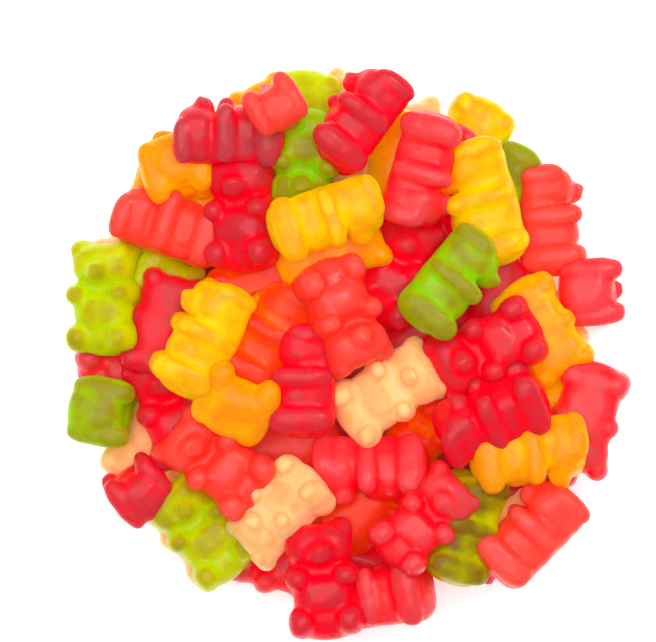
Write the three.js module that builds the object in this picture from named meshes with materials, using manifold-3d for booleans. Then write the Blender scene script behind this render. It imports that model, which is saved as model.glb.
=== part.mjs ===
// A heap of gummy bears, the moulded jelly sweets, in millimetres and +Z up.
//
// Every sweet is one bear, flat at the back and with head, ears, snout, arms, belly and legs
// standing out of its front and sides. The heap is poured: the bears are let down one after
// another onto a low core, and each takes the tilt in which it lies lowest. All of it is one
// solid with an uneven outline and a flat underside, and the origin is in the middle of that.

import * as THREE from 'three';
import { mergeVertices } from 'three/addons/utils/BufferGeometryUtils.js';
import Module from 'manifold-3d';

const wasm = await Module();
wasm.setup();

// One sweet.
const BEAR_LENGTH = 21.5;
const BEAR_WIDTH = 12.6;
const BEAR_DEPTH = 12.2;

// The heap.
const CORE_RADIUS = 38;
const CORE_HEIGHT = 13;
const CORE_SIDES = 20;
const CORE_RINGS = 3;
const BED_HEIGHT = 5; // the low mound that the first sweets come to rest on, inside the core
const LOWER_PRESS = 0.26; // part of a sweet that presses into what it lies on, low in the heap
const UPPER_PRESS = 0.16; // the same for the sweets on top
const WEDGED_PRESS = 0.45; // and for those that stand on end, held between others
const STEEP_PITCH = 60; // degrees of pitch above which a sweet stands on end
const CUT_DEPTH = 20; // what reaches below the underside is cut off this far down

// The letting down.
const FILLING_STEP = 0.9; // between the points that stand for the inside of a sweet
const CELL = 0.93; // grid on which the heap's height is kept
const REACH = 66; // half the side of that grid

// Tilts that a falling sweet tries, and what keeps it near the lie that it is given.
const TILT_STEP = 8;
const TILT_STEPS = 2;
const TILT_COST = 0.06; // mm of height that one degree of tilt is worth

// Lies: the turn about the bear's own length that brings this side of it up.
const FRONT = 0;
const BACK = 180;
const LEFT = 90; // front to the right of the heading
const RIGHT = -90; // front to the left of the heading

// Forms that make up a bear, in parts of its width, length and depth: the middle across, along
// and above the flat back, then the half sizes. Those off the middle come in pairs. The last two
// numbers say how square a form is seen from the front and how blunt from the side: 2 is an
// ellipse.
const BEAR_FORMS = {
  slab: [0, 0, 0.36, 0.42, 0.44, 0.36, 3, 3.2],
  seat: [0, -0.3, 0.41, 0.44, 0.185, 0.41, 2.4, 2.6],
  belly: [0, -0.12, 0.46, 0.42, 0.17, 0.42, 2.8, 3],
  head: [0, 0.275, 0.43, 0.455, 0.17, 0.43, 2.8, 3],
  snout: [0, 0.22, 0.72, 0.19, 0.1, 0.27, 2, 2.6],
  ear: [0.33, 0.385, 0.38, 0.155, 0.095, 0.34, 2.2, 2.4],
  arm: [0.325, 0.03, 0.5, 0.18, 0.095, 0.45, 2.3, 2.8],
  leg: [0.32, -0.325, 0.5, 0.19, 0.125, 0.48, 2.4, 2.8],
};

// Cross-sections that the solid is lofted through, in parts of the bear's length, and the places
// across the front where each takes the bear's height, in parts of its half width. On top of the
// heap the sections are the seat, the legs, the fold above them, the arms, the neck, the snout
// and the ears. Lower down they are fewer.
const FULL = {
  stations: [-0.475, -0.4, -0.3, -0.13, 0.03, 0.135, 0.22, 0.4, 0.46],
  steps: [-0.62, 0, 0.62],
};
const PLAIN = { stations: [-0.47, -0.32, -0.13, 0.03, 0.14, 0.44], steps: [-0.62, 0, 0.62] };
const HIDDEN = { stations: [-0.47, -0.3, 0.25, 0.45], steps: [0] };
const SIDE_LEVEL = 0.36; // where the bear is widest, in parts of its depth
const LOWEST_FRONT = 0.4; // the front of a section, at the least, in parts of the depth
const BACK_WIDTH = 0.82; // the flat back, in parts of its half width

// The sweets from the bottom up: x, y of the middle, heading of the head in degrees from +X,
// lie, turn added to the lie, pitch that lifts the head, and size against the named bear.
const RIM_BEARS = [
  [0.5, 40, 80, FRONT, 0, 0, 1],
  [13, 35.6, 105, FRONT, 0, 0, 0.95],
  [21, 35.8, 242, BACK, 0, 15, 0.95],
  [25.2, 28.4, 60, RIGHT, 0, 0, 1],
  [37, 1.5, 95, FRONT, 0, 0, 1],
  [37, -9, 100, LEFT, 0, 0, 0.95],
  [35, -20.5, 60, BACK, 0, 0, 1],
  [27.5, -25, 70, FRONT, 0, 0, 1],
  [20, -35.5, 0, LEFT, 0, 0, 1],
  [2.5, -38, 80, LEFT, 0, 0, 1],
  [-13, -37.5, 165, FRONT, 0, 0, 1],
  [-28, -31.5, 130, BACK, 0, 0, 1],
  [-35, -15.5, 60, BACK, 0, 0, 1],
  [-38, -3, 20, FRONT, 0, 0, 1],
  [-36.5, 18.5, 35, FRONT, 0, 0, 1],
  [-32.5, 29.5, 70, LEFT, 0, 0, 0.95],
  [-12.6, 40, 118, FRONT, 0, 0, 0.9],
];
const INNER_BEARS = [
  [-24, 25, 15, BACK, 0, 0, 1],
  [9.5, 33.5, 75, BACK, 0, 0, 1],
  [-29.5, 11, -35, RIGHT, 0, 0, 1],
  [-33, 4.5, 75, BACK, 0, 0, 1],
  [-31, -10.5, 110, FRONT, 0, 0, 1],
  [-15, 9.5, 100, BACK, 0, 0, 1],
  [-14.5, 12.5, 30, BACK, 0, 0, 1],
  [-7, 9, 35, FRONT, 0, 0, 1],
  [-14.5, 3, 60, RIGHT, 0, 0, 1],
  [-10.5, -17, 20, BACK, 0, 0, 1],
  [12.5, -14.5, 60, FRONT, 0, 0, 1],
  [-0.5, -31, 40, BACK, 0, 0, 1],
  [12.5, 2, 40, BACK, 0, 0, 1],
  [16, 20.5, 30, FRONT, 0, 0, 1],
  [8.5, 14.5, 65, FRONT, 0, 0, 1],
  [-3, 18, 20, BACK, 0, 0, 1],
  [26, 12, 100, BACK, 0, 0, 1],
];
const UPPER_BEARS = [
  [-8, 39.5, 265, BACK, 0, 25, 1],
  [-7.5, 33.5, 262, FRONT, 0, 0, 0.95],
  [-31.4, 23, 161, LEFT, 0, 0, 1],
  [-30.2, 31.2, -78, FRONT, 0, -80, 0.97],
  [-18.5, 24.5, 94, FRONT, -20, 0, 1.02],
  [-20.8, 39, 180, LEFT, -10, 0, 0.97],
  [-12.8, 42.9, 120, FRONT, 0, -92, 0.77],
  [1.4, 41.3, 54, RIGHT, 10, 0, 0.97],
  [23, 26, 105, RIGHT, 5, 0, 1.14],
  [14.2, 31.6, 254, RIGHT, 15, 0, 1.02],
  [36.5, 23.5, 95, LEFT, 0, 0, 1],
  [34.5, 4, 302, BACK, 0, 0, 0.96],
  [24.5, 0.5, 206, FRONT, 0, 0, 1.02],
  [42.3, -11.8, 255, BACK, 0, 0, 0.98],
  [32, -18.5, 8, LEFT, -10, 0, 1.05],
  [25, -10.5, 202, LEFT, -25, 0, 1],
  [44.1, 10.6, 5, FRONT, 0, -86, 0.98],
  [19.6, -31, 74, RIGHT, 30, 0, 0.98],
  [32, -31.5, 47, RIGHT, 5, 0, 1],
  [4, -21.5, 180, RIGHT, 25, 0, 1],
  [13.6, -29.6, 46, FRONT, 0, 0, 0.98],
  [5.6, -42.8, 190, LEFT, 0, -22, 0.93],
  [-4.6, -40.2, 96, FRONT, 0, 0, 1.05],
  [-23.2, -19.4, 142, FRONT, 0, 0, 1.02],
  [-18.4, -6, 67, FRONT, 0, -66, 1.1],
  [-8.2, -5, 90, RIGHT, 20, 0, 1],
  [-0.8, 6.5, 293, FRONT, -18, 0, 1.02],
  [-3.5, 22.9, 18, LEFT, -5, 0, 1],
  [18.5, 12, 50, LEFT, 0, 0, 1],
  [7, -7, 33, FRONT, 16, 0, 1.02],
  [-43, 9.6, 92, FRONT, -18, 0, 1.03],
  [-25.7, 2.6, 64, RIGHT, 12, 0, 1.05],
  [-42.4, -10.9, -10, FRONT, 0, -80, 0.98],
  [-26, -31.5, 129, FRONT, 0, 0, 1.02],
  [-37.6, -23.9, 126, FRONT, 0, -80, 0.88],
  [-12.3, -28, 225, FRONT, 30, 0, 0.92],
];

const radians = THREE.MathUtils.degToRad;
const power = (value, exponent) => Math.abs(value) ** exponent;

// The bear's forms in millimetres around its middle, both of each pair.
function bearForms(size) {
  const box = new THREE.Vector3(BEAR_WIDTH, BEAR_LENGTH, BEAR_DEPTH).multiplyScalar(size);
  const forms = [];
  for (const [across, along, up, wide, long, deep, square, blunt] of Object.values(BEAR_FORMS)) {
    const radii = new THREE.Vector3(wide, long, deep).multiply(box);
    for (const side of across === 0 ? [1] : [-1, 1]) {
      const centre = new THREE.Vector3(side * across, along, up - 0.5).multiply(box);
      forms.push({ centre, radii, square, blunt });
    }
  }
  return forms;
}

// How much of a form's unit shape (x, y) uses up, seen from the front: 1 is its edge.
function planOf({ centre, radii, square, blunt }, x, y) {
  const plan = power((x - centre.x) / radii.x, square) + power((y - centre.y) / radii.y, square);
  return plan ** (blunt / square);
}

// Half the bear's width at y.
function halfWidth(forms, y) {
  return Math.max(...forms.map(({ centre, radii, square }) => {
    const rest = 1 - power((y - centre.y) / radii.y, square);
    return rest > 0 ? Math.abs(centre.x) + radii.x * rest ** (1 / square) : 0;
  }));
}

// How far the bear's front stands up at (x, y), and lowest at the least.
function frontHeight(forms, x, y, lowest) {
  return Math.max(lowest, ...forms.map((form) => {
    const rest = 1 - planOf(form, x, y);
    return rest > 0 ? form.centre.z + form.radii.z * rest ** (1 / form.blunt) : lowest;
  }));
}

// One section of the loft: round from the back's edge over the front to its other edge.
function bearSection(forms, y, size, steps) {
  const depth = BEAR_DEPTH * size;
  const back = -0.5 * depth;
  const level = back + SIDE_LEVEL * depth;
  const lowest = back + LOWEST_FRONT * depth;
  const half = halfWidth(forms, y);
  const front = steps.map((step) => [step * half, y, frontHeight(forms, step * half, y, lowest)]);
  return [
    [-BACK_WIDTH * half, y, back], [-half, y, level], ...front, [half, y, level],
    [BACK_WIDTH * half, y, back],
  ];
}

// A closed loft through the sections, as a geometry of the bear around its middle.
function bearGeometry(size, { stations, steps }) {
  const forms = bearForms(size);
  const atStation = (part) => bearSection(forms, part * BEAR_LENGTH * size, size, steps);
  const sections = stations.map(atStation);
  const around = sections[0].length;
  const indices = [];
  for (let ring = 0; ring + 1 < sections.length; ring += 1) {
    for (let step = 0; step < around; step += 1) {
      const a = ring * around + step;
      const b = ring * around + ((step + 1) % around);
      indices.push(a, b, a + around, b, b + around, a + around);
    }
  }
  const last = (sections.length - 1) * around;
  for (let step = 1; step + 1 < around; step += 1) {
    indices.push(0, step + 1, step);
    indices.push(last, last + step, last + step + 1);
  }
  const geometry = new THREE.BufferGeometry();
  geometry.setAttribute('position', new THREE.Float32BufferAttribute(sections.flat(2), 3));
  geometry.setIndex(indices);
  return geometry;
}

// The points of an even lattice that lie inside the bear.
function bearFilling() {
  const forms = bearForms(1);
  const points = [];
  const count = (size) => Math.floor((0.5 * size) / FILLING_STEP);
  for (let i = -count(BEAR_WIDTH); i <= count(BEAR_WIDTH); i += 1) {
    for (let j = -count(BEAR_LENGTH); j <= count(BEAR_LENGTH); j += 1) {
      for (let k = -count(BEAR_DEPTH); k <= count(BEAR_DEPTH); k += 1) {
        const point = new THREE.Vector3(i, j, k).multiplyScalar(FILLING_STEP);
        const inside = (form) => planOf(form, point.x, point.y)
          + power((point.z - form.centre.z) / form.radii.z, form.blunt) <= 1;
        if (forms.some(inside)) points.push(point);
      }
    }
  }
  return points;
}

// The turn of a bear with this heading, pitch and turn about its own length.
function bearTurn(heading, pitch, roll) {
  const turn = new THREE.Matrix4().makeRotationZ(radians(heading - 90));
  turn.multiply(new THREE.Matrix4().makeRotationX(radians(pitch)));
  return turn.multiply(new THREE.Matrix4().makeRotationY(radians(roll)));
}

// The heap's height on a square grid, first that of its bed.
function bedHeight(x, y) {
  const part = Math.hypot(x, y) / CORE_RADIUS;
  return part < 1 ? BED_HEIGHT * Math.sqrt(1 - part * part) : 0;
}

const FILLING = bearFilling();
const GRID = Math.round((2 * REACH) / CELL);
const place = (index) => (index + 0.5) * CELL - REACH;
const heights = Float64Array.from(
  { length: GRID * GRID },
  (_, cell) => bedHeight(place(cell % GRID), place(Math.floor(cell / GRID))),
);

// The lowest and highest point of a turned bear at (x, y), for each cell that it covers.
function coveredCells(x, y, size, turn) {
  const spans = new Map();
  const point = new THREE.Vector3();
  for (const filled of FILLING) {
    point.copy(filled).multiplyScalar(size).applyMatrix4(turn);
    const column = Math.floor((point.x + x + REACH) / CELL);
    const cell = Math.floor((point.y + y + REACH) / CELL) * GRID + column;
    const span = spans.get(cell);
    if (!span) spans.set(cell, { low: point.z, high: point.z });
    else {
      span.low = Math.min(span.low, point.z);
      span.high = Math.max(span.high, point.z);
    }
  }
  return spans;
}

// The height at which the part of a bear that lies below the heap's surface is as large as
// pressed, which is a volume over the area of a cell.
function restingHeight(spans, pressed) {
  const gaps = [...spans].map(([cell, span]) => heights[cell] - span.low).sort((a, b) => b - a);
  let sum = 0;
  let z = -Infinity;
  gaps.forEach((gap, index) => {
    sum += gap;
    z = Math.max(z, (sum - pressed) / (index + 1));
  });
  return z;
}

// Lets one bear down onto the heap and returns its place and turn.
function settle([x, y, heading, lie, turnAdded, pitch, size], press) {
  const steep = Math.abs(pitch) > STEEP_PITCH;
  const volume = FILLING.length * (FILLING_STEP * size) ** 3;
  const pressed = ((steep ? WEDGED_PRESS : press) * volume) / CELL ** 2;
  const steps = steep ? 0 : TILT_STEPS;
  let best = null;
  for (let p = -steps; p <= steps; p += 1) {
    for (let r = -steps; r <= steps; r += 1) {
      const turn = bearTurn(heading, pitch + p * TILT_STEP, lie + turnAdded + r * TILT_STEP);
      const spans = coveredCells(x, y, size, turn);
      const z = restingHeight(spans, pressed);
      const cost = z + TILT_COST * TILT_STEP * (Math.abs(p) + Math.abs(r));
      if (!best || cost < best.cost) best = { cost, z, turn, spans };
    }
  }
  for (const [cell, { high }] of best.spans) {
    heights[cell] = Math.max(heights[cell], best.z + high);
  }
  return best.turn.setPosition(x, y, best.z);
}

// Between three.js geometries and the solids that are joined and cut.
function toSolid(geometry) {
  const bare = geometry.clone();
  bare.deleteAttribute('normal');
  bare.deleteAttribute('uv');
  const merged = mergeVertices(bare);
  return new wasm.Manifold(new wasm.Mesh({
    numProp: 3,
    vertProperties: new Float32Array(merged.attributes.position.array),
    triVerts: new Uint32Array(merged.index.array),
  }));
}

function coreGeometry() {
  const profile = [new THREE.Vector2(0, -1), new THREE.Vector2(CORE_RADIUS, -1)];
  for (let ring = 0; ring < CORE_RINGS; ring += 1) {
    const angle = (ring / CORE_RINGS) * 0.5 * Math.PI;
    profile.push(new THREE.Vector2(CORE_RADIUS * Math.cos(angle), CORE_HEIGHT * Math.sin(angle)));
  }
  profile.push(new THREE.Vector2(0, CORE_HEIGHT));
  return new THREE.LatheGeometry(profile, CORE_SIDES).rotateX(0.5 * Math.PI);
}

// What reaches below the underside is cut off flat.
function belowUnderside() {
  const block = new THREE.BoxGeometry(3 * REACH, 3 * REACH, CUT_DEPTH);
  return toSolid(block.translate(0, 0, -0.5 * CUT_DEPTH));
}

// Keeps the outer skin alone, so that a gap shut in between sweets is filled.
function outerSkin(mesh) {
  const root = Array.from({ length: mesh.vertProperties.length / 3 }, (_, index) => index);
  const find = (vertex) => {
    let top = vertex;
    while (root[top] !== top) top = root[top];
    root[vertex] = top;
    return top;
  };
  for (let corner = 0; corner < mesh.triVerts.length; corner += 3) {
    for (const next of [1, 2]) {
      root[find(mesh.triVerts[corner + next])] = find(mesh.triVerts[corner]);
    }
  }
  const skins = new Map();
  for (let corner = 0; corner < mesh.triVerts.length; corner += 3) {
    const skin = find(mesh.triVerts[corner]);
    if (!skins.has(skin)) skins.set(skin, []);
    skins.get(skin).push(...mesh.triVerts.slice(corner, corner + 3));
  }
  const largest = [...skins.values()].sort((a, b) => b.length - a.length)[0];
  const geometry = new THREE.BufferGeometry();
  geometry.setAttribute('position', new THREE.BufferAttribute(mesh.vertProperties, 3));
  geometry.setIndex(largest);
  return geometry.toNonIndexed();
}

// Adds these bears to the solid, each where it comes to rest.
function pourBears(solid, bears, press, form) {
  return bears.reduce((sum, bear) => {
    const geometry = bearGeometry(bear.at(-1), form);
    return sum.add(toSolid(geometry.applyMatrix4(settle(bear, press))));
  }, solid);
}

function heapGeometry() {
  let solid = toSolid(coreGeometry());
  solid = pourBears(solid, RIM_BEARS, LOWER_PRESS, PLAIN);
  solid = pourBears(solid, INNER_BEARS, LOWER_PRESS, HIDDEN);
  solid = pourBears(solid, UPPER_BEARS, UPPER_PRESS, FULL);
  return outerSkin(solid.subtract(belowUnderside()).getMesh());
}

const jelly = new THREE.MeshStandardMaterial({ color: 0xe02a30, roughness: 0.4, metalness: 0 });
const heap = new THREE.Mesh(heapGeometry(), jelly);
heap.name = 'gummy_bear_heap';

const part = new THREE.Group();
part.add(heap);
export default part;
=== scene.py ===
"""Looks of the heap of gummy bears: the real sweets, mesh by mesh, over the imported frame.

The places of the sweets repeat those of the part's source, and so does the rule by which each
is let down onto the heap, so every sweet lies where the solid has it. Lengths are millimetres
until a mesh is finished, and metres from then on.
"""

import math
import random

import bmesh
import bpy
import numpy as np
from mathutils import Matrix, Vector, noise


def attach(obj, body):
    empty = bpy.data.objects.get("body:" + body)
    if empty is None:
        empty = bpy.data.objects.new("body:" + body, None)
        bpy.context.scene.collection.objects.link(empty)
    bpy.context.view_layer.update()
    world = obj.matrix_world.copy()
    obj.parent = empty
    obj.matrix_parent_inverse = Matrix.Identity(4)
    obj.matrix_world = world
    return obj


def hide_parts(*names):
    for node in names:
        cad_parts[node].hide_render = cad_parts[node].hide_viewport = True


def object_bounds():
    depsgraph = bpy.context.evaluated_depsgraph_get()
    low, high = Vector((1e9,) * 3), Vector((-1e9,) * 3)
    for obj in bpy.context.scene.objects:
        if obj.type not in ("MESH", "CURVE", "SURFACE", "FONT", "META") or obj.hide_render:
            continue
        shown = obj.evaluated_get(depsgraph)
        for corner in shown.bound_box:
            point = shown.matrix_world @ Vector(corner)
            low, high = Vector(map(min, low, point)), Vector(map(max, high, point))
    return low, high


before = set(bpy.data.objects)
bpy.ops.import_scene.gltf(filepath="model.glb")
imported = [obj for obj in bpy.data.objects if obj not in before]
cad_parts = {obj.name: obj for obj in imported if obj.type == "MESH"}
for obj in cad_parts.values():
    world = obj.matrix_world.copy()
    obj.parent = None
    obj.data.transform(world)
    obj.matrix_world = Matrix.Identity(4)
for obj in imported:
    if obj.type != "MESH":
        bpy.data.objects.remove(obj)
CAD_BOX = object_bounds()
NODE = "gummy_bear_heap"
MM = 0.001

# ---------------------------------------------------------------- dimensions of the part's source

BEAR_LENGTH = 21.5
BEAR_WIDTH = 12.6
BEAR_DEPTH = 12.2
BEAR_SIZE = np.array([BEAR_WIDTH, BEAR_LENGTH, BEAR_DEPTH])
CORE_RADIUS = 38.0
# The low mound that the first sweets come to rest on.
BED_HEIGHT = 5.0
# Part of a sweet that presses into what it lies on: low in the heap, on top of it, and where it
# stands on end between others, which it does above this pitch in degrees.
LOWER_PRESS = 0.26
UPPER_PRESS = 0.16
WEDGED_PRESS = 0.45
STEEP_PITCH = 60
# Step between the points that stand for the inside of a sweet, and the grid on which the heap's
# height is kept: its cell and half its side.
FILLING_STEP = 0.9
CELL = 0.93
REACH = 66.0
# Tilts that a falling sweet tries: their step in degrees, how many steps to each side, and the
# height that one degree is worth, which keeps the sweet near the lie that it is given.
TILT_STEP = 8
TILT_STEPS = 2
TILT_COST = 0.06

# Lies: the turn about the bear's own length that brings this side of it up.
FRONT, BACK, LEFT, RIGHT = 0, 180, 90, -90
# Heading of a bear as its forms describe it, with the head toward +Y.
OWN_HEADING = 90

# Forms of a bear, in parts of its width, length and depth: middle across, along and above the
# flat back, then the half sizes. Those off the middle come in pairs. The last two numbers say
# how square a form is seen from the front and how blunt from the side: 2 is an ellipse.
BEAR_FORMS = {
    "slab": (0, 0, 0.36, 0.42, 0.44, 0.36, 3, 3.2),
    "seat": (0, -0.3, 0.41, 0.44, 0.185, 0.41, 2.4, 2.6),
    "belly": (0, -0.12, 0.46, 0.42, 0.17, 0.42, 2.8, 3),
    "head": (0, 0.275, 0.43, 0.455, 0.17, 0.43, 2.8, 3),
    "snout": (0, 0.22, 0.72, 0.19, 0.1, 0.27, 2, 2.6),
    "ear": (0.33, 0.385, 0.38, 0.155, 0.095, 0.34, 2.2, 2.4),
    "arm": (0.325, 0.03, 0.5, 0.18, 0.095, 0.45, 2.3, 2.8),
    "leg": (0.32, -0.325, 0.5, 0.19, 0.125, 0.48, 2.4, 2.8),
}

# The sweets from the bottom up: colour, x, y of the middle, heading of the head in degrees from
# +X, lie, turn added to the lie, pitch that lifts the head, and size.
RIM_BEARS = [
    ("peach", 0.5, 40, 80, FRONT, 0, 0, 1),
    ("peach", 13, 35.6, 105, FRONT, 0, 0, 0.95),
    ("yellow", 21, 35.8, 242, BACK, 0, 15, 0.95),
    ("green", 25.2, 28.4, 60, RIGHT, 0, 0, 1),
    ("peach", 37, 1.5, 95, FRONT, 0, 0, 1),
    ("yellow", 37, -9, 100, LEFT, 0, 0, 0.95),
    ("dark_red", 35, -20.5, 60, BACK, 0, 0, 1),
    ("peach", 27.5, -25, 70, FRONT, 0, 0, 1),
    ("crimson", 20, -35.5, 0, LEFT, 0, 0, 1),
    ("crimson", 2.5, -38, 80, LEFT, 0, 0, 1),
    ("red", -13, -37.5, 165, FRONT, 0, 0, 1),
    ("peach", -28, -31.5, 130, BACK, 0, 0, 1),
    ("peach", -35, -15.5, 60, BACK, 0, 0, 1),
    ("red", -38, -3, 20, FRONT, 0, 0, 1),
    ("peach", -36.5, 18.5, 35, FRONT, 0, 0, 1),
    ("orange", -32.5, 29.5, 70, LEFT, 0, 0, 0.95),
    ("orange", -12.6, 40, 118, FRONT, 0, 0, 0.9),
]
INNER_BEARS = [
    ("yellow", -24, 25, 15, BACK, 0, 0, 1),
    ("yellow", 9.5, 33.5, 75, BACK, 0, 0, 1),
    ("lime", -29.5, 11, -35, RIGHT, 0, 0, 1),
    ("crimson", -33, 4.5, 75, BACK, 0, 0, 1),
    ("crimson", -31, -10.5, 110, FRONT, 0, 0, 1),
    ("crimson", -15, 9.5, 100, BACK, 0, 0, 1),
    ("orange_red", -14.5, 12.5, 30, BACK, 0, 0, 1),
    ("orange", -7, 9, 35, FRONT, 0, 0, 1),
    ("orange_red", -14.5, 3, 60, RIGHT, 0, 0, 1),
    ("coral", -10.5, -17, 20, BACK, 0, 0, 1),
    ("orange_red", 12.5, -14.5, 60, FRONT, 0, 0, 1),
    ("orange_red", -0.5, -31, 40, BACK, 0, 0, 1),
    ("crimson", 12.5, 2, 40, BACK, 0, 0, 1),
    ("crimson", 16, 20.5, 30, FRONT, 0, 0, 1),
    ("crimson", 8.5, 14.5, 65, FRONT, 0, 0, 1),
    ("orange", -3, 18, 20, BACK, 0, 0, 1),
    ("crimson", 26, 12, 100, BACK, 0, 0, 1),
]
UPPER_BEARS = [
    ("lime", -8, 39.5, 265, BACK, 0, 25, 1),
    ("green", -7.5, 33.5, 262, FRONT, 0, 0, 0.95),
    ("coral", -31.4, 23, 161, LEFT, 0, 0, 1),
    ("orange", -30.2, 31.2, -78, FRONT, 0, -80, 0.97),
    ("crimson", -18.5, 24.5, 94, FRONT, -20, 0, 1.02),
    ("dark_red", -20.8, 39, 180, LEFT, -10, 0, 0.97),
    ("coral", -12.8, 42.9, 120, FRONT, 0, -92, 0.77),
    ("crimson", 1.4, 41.3, 54, RIGHT, 10, 0, 0.97),
    ("yellow", 23, 26, 105, RIGHT, 5, 0, 1.14),
    ("red", 14.2, 31.6, 254, RIGHT, 15, 0, 1.02),
    ("coral", 36.5, 23.5, 95, LEFT, 0, 0, 1),
    ("orange", 34.5, 4, 302, BACK, 0, 0, 0.96),
    ("crimson", 24.5, 0.5, 206, FRONT, 0, 0, 1.02),
    ("red", 42.3, -11.8, 255, BACK, 0, 0, 0.98),
    ("orange", 32, -18.5, 8, LEFT, -10, 0, 1.05),
    ("crimson", 25, -10.5, 202, LEFT, -25, 0, 1),
    ("red", 44.1, 10.6, 5, FRONT, 0, -86, 0.98),
    ("olive", 19.6, -31, 74, RIGHT, 30, 0, 0.98),
    ("coral", 32, -31.5, 47, RIGHT, 5, 0, 1),
    ("red", 4, -21.5, 180, RIGHT, 25, 0, 1),
    ("red", 13.6, -29.6, 46, FRONT, 0, 0, 0.98),
    ("red", 5.6, -42.8, 190, LEFT, 0, -22, 0.93),
    ("crimson", -4.6, -40.2, 96, FRONT, 0, 0, 1.05),
    ("coral", -23.2, -19.4, 142, FRONT, 0, 0, 1.02),
    ("orange", -18.4, -6, 67, FRONT, 0, -66, 1.1),
    ("crimson", -8.2, -5, 90, RIGHT, 20, 0, 1),
    ("coral", -0.8, 6.5, 293, FRONT, -18, 0, 1.02),
    ("yellow", -3.5, 22.9, 18, LEFT, -5, 0, 1),
    ("green", 18.5, 12, 50, LEFT, 0, 0, 1),
    ("peach", 7, -7, 33, FRONT, 16, 0, 1.02),
    ("lime", -43, 9.6, 92, FRONT, -18, 0, 1.03),
    ("yellow", -25.7, 2.6, 64, RIGHT, 12, 0, 1.05),
    ("green", -42.4, -10.9, -10, FRONT, 0, -80, 0.98),
    ("lime", -26, -31.5, 129, FRONT, 0, 0, 1.02),
    ("crimson", -37.6, -23.9, 126, FRONT, 0, -80, 0.88),
    ("peach", -12.3, -28, 225, FRONT, 30, 0, 0.92),
]


# ---------------------------------------------------------------- letting the sweets down


def bear_forms():
    """Every form of the bear around its middle, both of each pair: centre, radii, shape."""
    for across, along, up, wide, long, deep, square, blunt in BEAR_FORMS.values():
        for side in (1,) if across == 0 else (-1, 1):
            centre = np.array([side * across, along, up - 0.5]) * BEAR_SIZE
            yield centre, np.array([wide, long, deep]) * BEAR_SIZE, square, blunt


def bear_filling():
    """The points of an even lattice that lie inside the bear."""
    counts = [math.floor(0.5 * size / FILLING_STEP) for size in BEAR_SIZE]
    axes = [np.arange(-count, count + 1) * FILLING_STEP for count in counts]
    lattice = np.stack(np.meshgrid(*axes, indexing="ij"), axis=-1).reshape(-1, 3)
    inside = np.zeros(len(lattice), bool)
    for centre, radii, square, blunt in bear_forms():
        x, y, z = (np.abs(lattice - centre) / radii).T
        inside |= (x**square + y**square) ** (blunt / square) + z**blunt <= 1
    return lattice[inside]


def bear_turn(heading, pitch, roll):
    """The turn of a bear with this heading, pitch and turn about its own length."""
    turn = Matrix.Rotation(math.radians(heading - OWN_HEADING), 3, "Z")
    turn = turn @ Matrix.Rotation(math.radians(pitch), 3, "X")
    return np.array(turn @ Matrix.Rotation(math.radians(roll), 3, "Y"))


class Heap:
    """The heap's height on a square grid, as sweets are let down onto it."""

    def __init__(self):
        self.filling = bear_filling()
        self.count = round(2 * REACH / CELL)
        places = (np.arange(self.count) + 0.5) * CELL - REACH
        x, y = np.meshgrid(places, places)
        part = np.hypot(x, y) / CORE_RADIUS
        self.heights = (BED_HEIGHT * np.sqrt(np.maximum(0, 1 - part**2))).ravel()

    def lie_at(self, x, y, size, turn, press):
        """The height at which a turned bear comes to lie, its cells and its top over each."""
        points = self.filling * size @ turn.T
        columns = np.floor((points[:, 0] + x + REACH) / CELL).astype(int)
        rows = np.floor((points[:, 1] + y + REACH) / CELL).astype(int)
        cells, place = np.unique(rows * self.count + columns, return_inverse=True)
        low = np.full(cells.size, np.inf)
        high = np.full(cells.size, -np.inf)
        np.minimum.at(low, place, points[:, 2])
        np.maximum.at(high, place, points[:, 2])
        gaps = np.sort(self.heights[cells] - low)[::-1]
        pressed = press * len(points) * (FILLING_STEP * size) ** 3 / CELL**2
        height = ((np.cumsum(gaps) - pressed) / np.arange(1, gaps.size + 1)).max()
        return height, cells, high

    def settle(self, x, y, heading, lie, added, pitch, size, press):
        """Lets one bear down and returns its height and turn."""
        best = None
        steps = 0 if abs(pitch) > STEEP_PITCH else TILT_STEPS
        for p in range(-steps, steps + 1):
            for r in range(-steps, steps + 1):
                turn = bear_turn(heading, pitch + p * TILT_STEP, lie + added + r * TILT_STEP)
                height, cells, high = self.lie_at(x, y, size, turn, press)
                cost = height + TILT_COST * TILT_STEP * (abs(p) + abs(r))
                if best is None or cost < best[0]:
                    best = (cost, height, turn, cells, high)
        _, height, turn, cells, high = best
        self.heights[cells] = np.maximum(self.heights[cells], height + high)
        return height, turn


# ---------------------------------------------------------------- one sweet

# Voxels of the remeshed sweets in the inner, rim and upper layers.
INNER_VOXEL = 0.7
RIM_VOXEL = 0.55
UPPER_VOXEL = 0.42
# Master sweets for each layer, how far the sizes of their forms stray, and how finely the sphere
# is divided that each form starts from.
MOULDS = 5
FORM_STRAY = (0.97, 1.03)
SPHERE_LEVELS = 4
# The nose: its half sizes in mm, and its place along and above the middle in parts of a bear's
# length and depth. It is an ellipse from the front and from the side.
NOSE_RADII = (1.0, 0.75, 0.6)
NOSE_ALONG = 0.25
NOSE_ABOVE = 0.475
ELLIPSE = 2
# Spans that smoothing evens out: the seams between the forms, and what a fold or a ridge is
# measured against. A span of one voxel takes so many rounds.
SEAM_LENGTH = 0.53
RELIEF_LENGTH = 1.2
ROUNDS_FOR_VOXEL = 4
# How far a full ridge stands out, or a full fold lies back.
RELIEF_HEIGHT = 0.8
# Dents in a sweet's skin, and how far apart in the noise the masters take theirs.
DENT_LENGTH = 2.6
DENT_DEPTH = 0.16
DENT_SHIFT = 7
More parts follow.
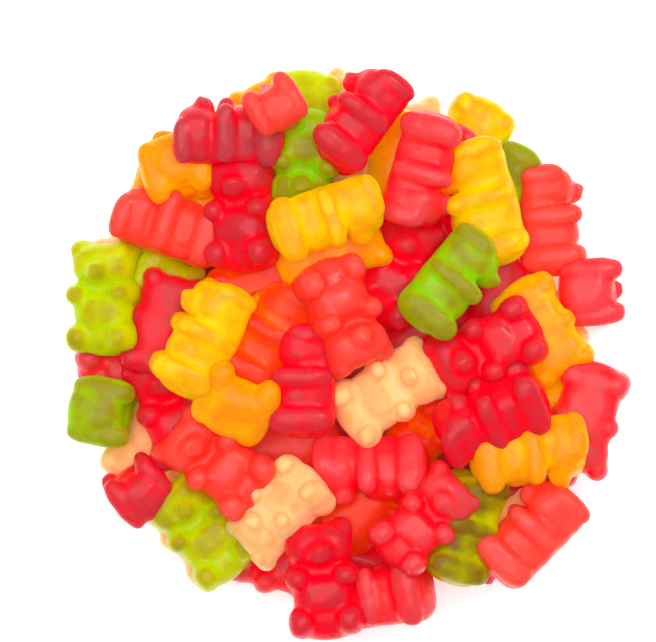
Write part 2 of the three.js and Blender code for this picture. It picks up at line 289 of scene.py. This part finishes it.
# What tells one sweet from another: how far its ends bend up and aside, how many degrees they
# twist, how its width and length are stretched, and how light its jelly is.
BEND_UP = (-0.7, 0.5)
BEND_ASIDE = (-0.6, 0.6)
TWIST = (-7, 7)
WIDTH_STRETCH = (0.96, 1.03)
LENGTH_STRETCH = (0.97, 1.02)
TONE = (0.95, 1.04)
SEED = 11


def swell(mesh, centre, radii, square, blunt):
    """Adds a rounded form to a bmesh, as BEAR_FORMS describes it."""
    made = bmesh.ops.create_icosphere(mesh, subdivisions=SPHERE_LEVELS, radius=1)
    for vertex in made["verts"]:
        x, y, z = (abs(v) for v in vertex.co)
        plan = (x**square + y**square) ** (blunt / square)
        reach = (plan + z**blunt) ** (-1 / blunt)
        vertex.co = Vector(c + r * v * reach for c, r, v in zip(centre, radii, vertex.co))


def evaluated(mesh, *modifiers):
    """The mesh with modifiers applied, each given as (type, settings)."""
    holder = bpy.data.objects.new("holder", mesh)
    bpy.context.scene.collection.objects.link(holder)
    for kind, settings in modifiers:
        modifier = holder.modifiers.new(kind, kind)
        for name, value in settings.items():
            setattr(modifier, name, value)
    graph = bpy.context.evaluated_depsgraph_get()
    result = bpy.data.meshes.new_from_object(holder.evaluated_get(graph))
    bpy.data.objects.remove(holder)
    bpy.data.meshes.remove(mesh)
    return result


def vectors(mesh, field):
    """One vector for each vertex of a mesh."""
    values = np.empty(len(mesh.vertices) * 3)
    mesh.vertices.foreach_get(field, values)
    return values.reshape(-1, 3)


def rounds_over(span, voxel):
    """Rounds of smoothing that even out a span. They grow with its square."""
    return math.ceil(ROUNDS_FOR_VOXEL * (span / voxel) ** 2)


def mould(seed, voxel):
    """Vertices, faces, normals and relief of one master sweet, in mm around its middle."""
    draw = random.Random(seed)
    raw = bmesh.new()
    for centre, radii, square, blunt in bear_forms():
        strayed = [radius * draw.uniform(*FORM_STRAY) for radius in radii]
        swell(raw, centre, strayed, square, blunt)
    nose = (0, NOSE_ALONG * BEAR_LENGTH, NOSE_ABOVE * BEAR_DEPTH)
    swell(raw, nose, NOSE_RADII, ELLIPSE, ELLIPSE)
    mesh = bpy.data.meshes.new("mould")
    raw.to_mesh(mesh)
    raw.free()
    mesh = evaluated(
        mesh,
        ("REMESH", {"mode": "VOXEL", "voxel_size": voxel}),
        ("SMOOTH", {"factor": 0.5, "iterations": rounds_over(SEAM_LENGTH, voxel)}),
    )
    points = vectors(mesh, "co")
    normals = vectors(mesh, "normal")
    faces = np.array([face.vertices[:] for face in mesh.polygons])
    bpy.data.meshes.remove(mesh)
    relief = relief_of(points, faces, normals, voxel)
    aside = Vector((DENT_SHIFT * seed, 0, 0))
    dents = [noise.noise(Vector(point) / DENT_LENGTH + aside) for point in points]
    return points + DENT_DEPTH * np.array(dents)[:, None] * normals, faces, normals, relief


def relief_of(points, faces, normals, voxel):
    """Where each point stands against the surface around it: 0 in a fold, 1 on a ridge."""
    # Every edge of a closed mesh lies in two faces, which run along it in opposite directions.
    edges = np.concatenate([faces[:, [k, k - 1]] for k in range(faces.shape[1])])
    here, there = edges.T
    neighbours = np.bincount(here)[:, None]
    even = points
    for _ in range(rounds_over(RELIEF_LENGTH, voxel)):
        total = [np.bincount(here, weights=axis[there]) for axis in even.T]
        even = (even + np.stack(total, axis=1) / neighbours) / 2
    stands = ((points - even) * normals).sum(axis=1)
    return np.clip(0.5 + 0.5 * stands / RELIEF_HEIGHT, 0, 1)


def soften(points, draw):
    """Bends, twists and stretches a sweet a little, as no two lie alike."""
    x, y, z = points.T
    along = y / (0.5 * BEAR_LENGTH)
    z = z + draw.uniform(*BEND_UP) * along**2
    x = x + draw.uniform(*BEND_ASIDE) * along**2
    angle = math.radians(draw.uniform(*TWIST)) * along
    x, z = x * np.cos(angle) - z * np.sin(angle), x * np.sin(angle) + z * np.cos(angle)
    x = x * draw.uniform(*WIDTH_STRETCH)
    y = y * draw.uniform(*LENGTH_STRETCH)
    return np.stack([x, y, z], axis=1)


# ---------------------------------------------------------------- materials

# Colour of each jelly in its folds and on its flats, its ridges and the tips of its limbs, as it
# looks on a screen. The hue is the jelly's own. Painted light changes it along the ramp: brighter
# and more saturated in the folds as painted glow of light through thin jelly, and duller and
# paler on ridges and tops as painted sheen of the overhead light.
JELLIES = {
    "coral": ((255, 52, 38), (252, 62, 48), (234, 72, 62), (240, 80, 70)),
    "red": ((252, 8, 38), (240, 38, 46), (218, 64, 70), (218, 64, 70)),
    "crimson": ((246, 0, 34), (230, 6, 36), (200, 40, 54), (200, 40, 54)),
    "dark_red": ((238, 6, 36), (206, 26, 44), (184, 58, 68), (184, 58, 68)),
    "orange": ((255, 194, 0), (255, 167, 0), (252, 146, 6), (253, 152, 4)),
    "orange_red": ((255, 106, 0), (242, 70, 4), (224, 52, 12), (224, 52, 12)),
    "yellow": ((255, 208, 0), (255, 188, 0), (248, 162, 6), (255, 198, 0)),
    "green": ((140, 206, 0), (156, 178, 0), (150, 142, 18), (150, 142, 18)),
    "olive": ((184, 190, 0), (156, 150, 0), (130, 98, 14), (130, 98, 14)),
    "lime": ((187, 211, 0), (192, 203, 0), (182, 174, 6), (156, 146, 12)),
    "peach": ((255, 212, 150), (253, 194, 127), (248, 172, 106), (251, 194, 134)),
}
# How far red, green and blue light travels in the jelly, in mm.
TRAVEL = {
    "coral": (5, 1.4, 1.2),
    "red": (5, 0.8, 0.8),
    "crimson": (4.5, 0.5, 0.6),
    "dark_red": (3, 0.5, 0.6),
    "orange": (5, 2.6, 0.5),
    "orange_red": (5, 1.6, 0.5),
    "yellow": (5, 3.8, 0.5),
    "green": (2.6, 4.5, 0.5),
    "olive": (2, 2.6, 0.5),
    "lime": (3.6, 4.2, 0.5),
    "peach": (5, 4, 3),
}
# How much the skin of each mirrors the overhead light.
SHEEN = {
    "coral": 0.16,
    "red": 0.2,
    "crimson": 0.14,
    "dark_red": 0.2,
    "orange": 0.1,
    "orange_red": 0.14,
    "yellow": 0.08,
    "green": 0.1,
    "olive": 0.1,
    "lime": 0.1,
    "peach": 0.12,
}
# Painted sheen of the overhead light: how much further toward the duller, paler colours a sweet's
# top is moved than its sides, on the scale of the relief, and the upward part of a normal that
# makes no difference.
TOP_PAINTED_SHEEN = 0.42
SLANTED = 0.5
# Where each of the four colours lies on that scale, once the painted sheen of the top is added.
FOLD, FLAT, RIDGE, TIP = 0.46, 0.64, 0.8, 1.0
# Patches in the painted glow and sheen: waves for each metre, and how far they move the relief.
PAINTED_LIGHT_PATCHES = ((330, 0.09), (110, 0.11))
# The range that most of a noise keeps to, and the detail of a fine one.
USUAL_NOISE = (0.3, 0.7)
FINE_DETAIL = 4
# The skin: waves for each metre of its uneven gloss and of its frost, the gloss's roughness, and
# the frost's own unevenness, strength and depth in mm.
GLOSS_WAVES = 420
GLOSS_ROUGHNESS = (0.22, 0.38)
FROST_WAVES = 700
FROST_UNEVENNESS = 0.55
FROST_STRENGTH = 0.5
FROST_DEPTH = 0.1
# What all jellies share. Their own light stands for what reaches a deep gap through the jelly.
JELLY_SETTINGS = {
    "Emission Strength": 0.1,
    "Subsurface Weight": 0.9,
    "Subsurface Scale": MM,
    "IOR": 1.45,
    "Transmission Weight": 0.1,
    "Coat Weight": 0.05,
    "Coat Roughness": 0.12,
}
# The card: waves of its grain for each metre, range of its white, roughness and own light.
GRAIN_WAVES = 300
CARD_WHITE = (0.88, 0.92)
CARD_ROUGHNESS = 0.8
CARD_LIGHT = 0.45
WHITE = (1, 1, 1, 1)


def linear(red, green, blue):
    """A screen's colour, 0 to 255, as Blender's linear values by the sRGB curve."""
    parts = [c / 255 for c in (red, green, blue)]
    return [c / 12.92 if c <= 0.04045 else ((c + 0.055) / 1.055) ** 2.4 for c in parts] + [1]


def new_material(name):
    """An empty node material, its nodes and links, and its Principled shader."""
    material = bpy.data.materials.new(name)
    material.use_nodes = True
    nodes, links = material.node_tree.nodes, material.node_tree.links
    return material, nodes, links, nodes["Principled BSDF"]


def noise_node(nodes, links, scale, detail=3.0, roughness=0.5):
    """A noise texture in the piece's own coordinates, scale in waves for each metre."""
    place = nodes.new("ShaderNodeTexCoord")
    texture = nodes.new("ShaderNodeTexNoise")
    texture.inputs["Scale"].default_value = scale
    texture.inputs["Detail"].default_value = detail
    texture.inputs["Roughness"].default_value = roughness
    links.new(place.outputs["Object"], texture.inputs["Vector"])
    return texture.outputs["Fac"]


def mapped(nodes, links, value, low, high):
    """Brings the usual range of a noise to low..high."""
    spread = nodes.new("ShaderNodeMapRange")
    ends = ("From Min", "From Max", "To Min", "To Max")
    for end, place in zip(ends, (*USUAL_NOISE, low, high)):
        spread.inputs[end].default_value = place
    links.new(value, spread.inputs["Value"])
    return spread.outputs["Result"]


def added(nodes, links, first, second):
    """The sum of two values."""
    node = nodes.new("ShaderNodeMath")
    node.operation = "ADD"
    links.new(first, node.inputs[0])
    links.new(second, node.inputs[1])
    return node.outputs["Value"]


def attribute(nodes, name):
    """A value that the mesh carries at its points."""
    node = nodes.new("ShaderNodeAttribute")
    node.attribute_name = name
    return node.outputs["Fac"]


def jelly_colour(nodes, links, name):
    """Colour of the jelly from the relief and the patches, as light as its sweet's tone: painted
    glow in the folds and painted sheen on ridges and tops.
    """
    relief = attribute(nodes, "relief")
    for waves, part in PAINTED_LIGHT_PATCHES:
        painted_patch = mapped(nodes, links, noise_node(nodes, links, waves), -part, part)
        relief = added(nodes, links, relief, painted_patch)
    ramp = nodes.new("ShaderNodeValToRGB")
    stops = ramp.color_ramp.elements
    stops.remove(stops[0])
    stops[0].position = TIP
    for place in (FOLD, FLAT, RIDGE):
        stops.new(place)
    for stop, colour in zip(stops, JELLIES[name]):
        stop.color = linear(*colour)
    links.new(relief, ramp.inputs["Fac"])
    tint = nodes.new("ShaderNodeHueSaturation")
    links.new(ramp.outputs["Color"], tint.inputs["Color"])
    links.new(attribute(nodes, "tone"), tint.inputs["Value"])
    return tint.outputs["Color"]


def jelly_material(name):
    """Satin jelly: bright in the folds as painted glow, duller on ridges and on top as painted
    sheen, with a faint glow of its own as painted light in the gaps, and its skin faintly
    frosted.
    """
    material, nodes, links, shader = new_material(f"{name}_jelly")
    colour = jelly_colour(nodes, links, name)
    links.new(colour, shader.inputs["Base Color"])
    links.new(colour, shader.inputs["Emission Color"])
    gloss = noise_node(nodes, links, GLOSS_WAVES, FINE_DETAIL)
    links.new(mapped(nodes, links, gloss, *GLOSS_ROUGHNESS), shader.inputs["Roughness"])
    frost = noise_node(nodes, links, FROST_WAVES, FINE_DETAIL, FROST_UNEVENNESS)
    bump = nodes.new("ShaderNodeBump")
    bump.inputs["Strength"].default_value = FROST_STRENGTH
    bump.inputs["Distance"].default_value = FROST_DEPTH * MM
    links.new(frost, bump.inputs["Height"])
    links.new(bump.outputs["Normal"], shader.inputs["Normal"])
    shader.subsurface_method = "RANDOM_WALK"
    shader.inputs["Subsurface Radius"].default_value = TRAVEL[name]
    shader.inputs["Specular IOR Level"].default_value = SHEEN[name]
    for setting, value in JELLY_SETTINGS.items():
        shader.inputs[setting].default_value = value
    return material


def floor_material():
    """White card with a trace of grain. Its own light keeps the heap's shade on it soft."""
    material, nodes, links, shader = new_material("white_card")
    value = mapped(nodes, links, noise_node(nodes, links, GRAIN_WAVES), *CARD_WHITE)
    colour = nodes.new("ShaderNodeCombineColor")
    for channel in ("Red", "Green", "Blue"):
        links.new(value, colour.inputs[channel])
    links.new(colour.outputs["Color"], shader.inputs["Base Color"])
    shader.inputs["Roughness"].default_value = CARD_ROUGHNESS
    shader.inputs["Emission Color"].default_value = WHITE
    shader.inputs["Emission Strength"].default_value = CARD_LIGHT
    return material


# ---------------------------------------------------------------- pieces

# The core here is lower and narrower than the solid's, so that the finer sweets still hide it.
CORE_HEIGHT = 10.0
CORE_INSET = 3
CORE_SEGMENTS = 96
CORE_RINGS = 64
# Its unevenness in parts of its size, how closely that varies, its colour, and how light that is
# once darkened as painted shade of the deep gaps.
CORE_UNEVENNESS = 0.06
CORE_VARIATION = 6
CORE_COLOUR = "crimson"
CORE_SHADED_TONE = 0.7


def piece_from(name, points, faces, relief, tone, slot, material):
    """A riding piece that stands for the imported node, from points in mm."""
    mesh = bpy.data.meshes.new(name)
    mesh.from_pydata((points * MM).tolist(), [], faces.tolist())
    mesh.polygons.foreach_set("use_smooth", [True] * len(mesh.polygons))
    for label, values in (("relief", relief), ("tone", tone)):
        mesh.attributes.new(label, "FLOAT", "POINT").data.foreach_set("value", values)
    mesh.materials.append(material)
    mesh.update()
    piece = bpy.data.objects.new(name, mesh)
    bpy.context.scene.collection.objects.link(piece)
    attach(piece, "root")
    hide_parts(NODE)
    return piece


def kept_inside(points, middle):
    """A sweet moved in by what it stands outside the frame's box, and cut flat on the floor."""
    low, high = (np.array(corner) / MM for corner in CAD_BOX)
    low[2] = -np.inf
    shift = np.maximum(low - points.min(axis=0), 0) + np.minimum(high - points.max(axis=0), 0)
    middle = middle + shift
    rays = points + shift - middle
    sunk = rays[:, 2] < -middle[2]
    rays[sunk] *= -middle[2] / rays[sunk, 2:]
    return middle + rays


def place_bears():
    """Every sweet at its place on the heap, gathered by colour."""
    draw = random.Random(SEED)
    heap = Heap()
    gathered = {colour: [] for colour in JELLIES}
    layers = (
        (RIM_BEARS, LOWER_PRESS, RIM_VOXEL),
        (INNER_BEARS, LOWER_PRESS, INNER_VOXEL),
        (UPPER_BEARS, UPPER_PRESS, UPPER_VOXEL),
    )
    for bears, press, voxel in layers:
        moulds = [mould(seed, voxel) for seed in range(MOULDS)]
        for colour, x, y, heading, lie, added, pitch, size in bears:
            held = WEDGED_PRESS if abs(pitch) > STEEP_PITCH else press
            z, turn = heap.settle(x, y, heading, lie, added, pitch, size, held)
            points, faces, normals, relief = draw.choice(moulds)
            middle = np.array([x, y, z])
            placed = kept_inside(soften(points, draw) * size @ turn.T + middle, middle)
            # Painted light: the relief plus the painted sheen of the top picks each point's
            # colour on the ramp.
            upward = (normals @ turn.T)[:, 2]
            painted_light = relief + TOP_PAINTED_SHEEN * (upward - SLANTED)
            tone = np.full(len(points), draw.uniform(*TONE))
            gathered[colour].append((placed, faces, painted_light, tone))
    return gathered


def join(parts):
    """Several meshes as one list of points, faces, relief and tone."""
    points, faces, relief, tone = zip(*parts)
    starts = np.cumsum([0] + [len(part) for part in points[:-1]])
    faces = [part + start for part, start in zip(faces, starts)]
    return [np.concatenate(values) for values in (points, faces, relief, tone)]


def core():
    """The inside of the heap, seen only in the gaps and darkened there as painted shade: a low
    uneven mound.
    """
    raw = bmesh.new()
    bmesh.ops.create_uvsphere(raw, u_segments=CORE_SEGMENTS, v_segments=CORE_RINGS, radius=1)
    for vertex in raw.verts:
        swollen = 1 + CORE_UNEVENNESS * noise.noise(vertex.co * CORE_VARIATION)
        vertex.co.x *= (CORE_RADIUS - CORE_INSET) * swollen
        vertex.co.y *= (CORE_RADIUS - CORE_INSET) * swollen
        vertex.co.z = max(vertex.co.z * CORE_HEIGHT * swollen, 0)
    bmesh.ops.triangulate(raw, faces=raw.faces)
    raw.verts.index_update()
    points = np.array([vertex.co[:] for vertex in raw.verts])
    faces = np.array([[vertex.index for vertex in face.verts] for face in raw.faces])
    raw.free()
    return points, faces, np.full(len(points), RIDGE), np.full(len(points), CORE_SHADED_TONE)


def build_pieces():
    """One piece for each colour of sweet, and the core."""
    for colour, parts in place_bears().items():
        material = jelly_material(colour)
        piece_from(f"{colour}_bears", *join(parts), colour, material)
        if colour == CORE_COLOUR:
            piece_from("heap_core", *core(), colour, material)


# ---------------------------------------------------------------- floor, light and camera

# The card's side in metres, and how many cells it is divided into along a side.
FLOOR_SIZE = 6
FLOOR_CELLS = 8
# Each light: its place and the side of its square in metres, and its power in watts.
OVERHEAD = ((-0.15, 0.2, 1.3), 1.3, 17.5)
KEY = ((0.5, 0.45, 0.9), 0.2, 3)
ROOM_LIGHT = 0.35
# The photograph's frame in pixels, and where the middle of the heap lies in it.
IMAGE_WIDTH, IMAGE_HEIGHT = 656, 642
HEAP_COLUMN, HEAP_ROW = 348, 352
MM_PER_PIXEL = 0.175
# Level of the upper sweets, where that scale holds, and the camera's distance, in metres.
SCALE_LEVEL = 0.022
CAMERA_DISTANCE = 0.8


def add_floor():
    """A wide card under the heap."""
    bpy.ops.mesh.primitive_grid_add(
        x_subdivisions=FLOOR_CELLS, y_subdivisions=FLOOR_CELLS, size=FLOOR_SIZE
    )
    floor = bpy.context.object
    floor.name = "floor"
    floor.data.materials.append(floor_material())


def add_area_light(name, place, size, power):
    """A soft square light that looks at the heap."""
    data = bpy.data.lights.new(name, "AREA")
    data.shape = "SQUARE"
    data.size = size
    data.energy = power
    light = bpy.data.objects.new(name, data)
    bpy.context.scene.collection.objects.link(light)
    light.location = place
    light.rotation_euler = (-Vector(place)).to_track_quat("-Z", "Y").to_euler()


def add_light():
    """A broad overhead box, a smaller key for glints, and a white room."""
    add_area_light("overhead", *OVERHEAD)
    add_area_light("key", *KEY)
    world = bpy.data.worlds.new("studio")
    bpy.context.scene.world = world
    world.use_nodes = True
    room = world.node_tree.nodes["Background"]
    room.inputs["Color"].default_value = WHITE
    room.inputs["Strength"].default_value = ROOM_LIGHT


def add_camera():
    """Straight down, so that a pixel is MM_PER_PIXEL at the level of the upper sweets."""
    data = bpy.data.cameras.new("camera")
    data.sensor_fit = "HORIZONTAL"
    seen_width = IMAGE_WIDTH * MM_PER_PIXEL * MM
    data.angle = 2 * math.atan(0.5 * seen_width / CAMERA_DISTANCE)
    camera = bpy.data.objects.new("camera", data)
    bpy.context.scene.collection.objects.link(camera)
    aside = (0.5 * IMAGE_WIDTH - HEAP_COLUMN) * MM_PER_PIXEL * MM
    ahead = (HEAP_ROW - 0.5 * IMAGE_HEIGHT) * MM_PER_PIXEL * MM
    camera.location = (aside, ahead, SCALE_LEVEL + CAMERA_DISTANCE)
    bpy.context.scene.camera = camera


add_camera()
build_pieces()
add_floor()
add_light()
# The jellies' full colours, without the filmic curve that greys bright hues.
bpy.context.scene.view_settings.view_transform = "Standard"
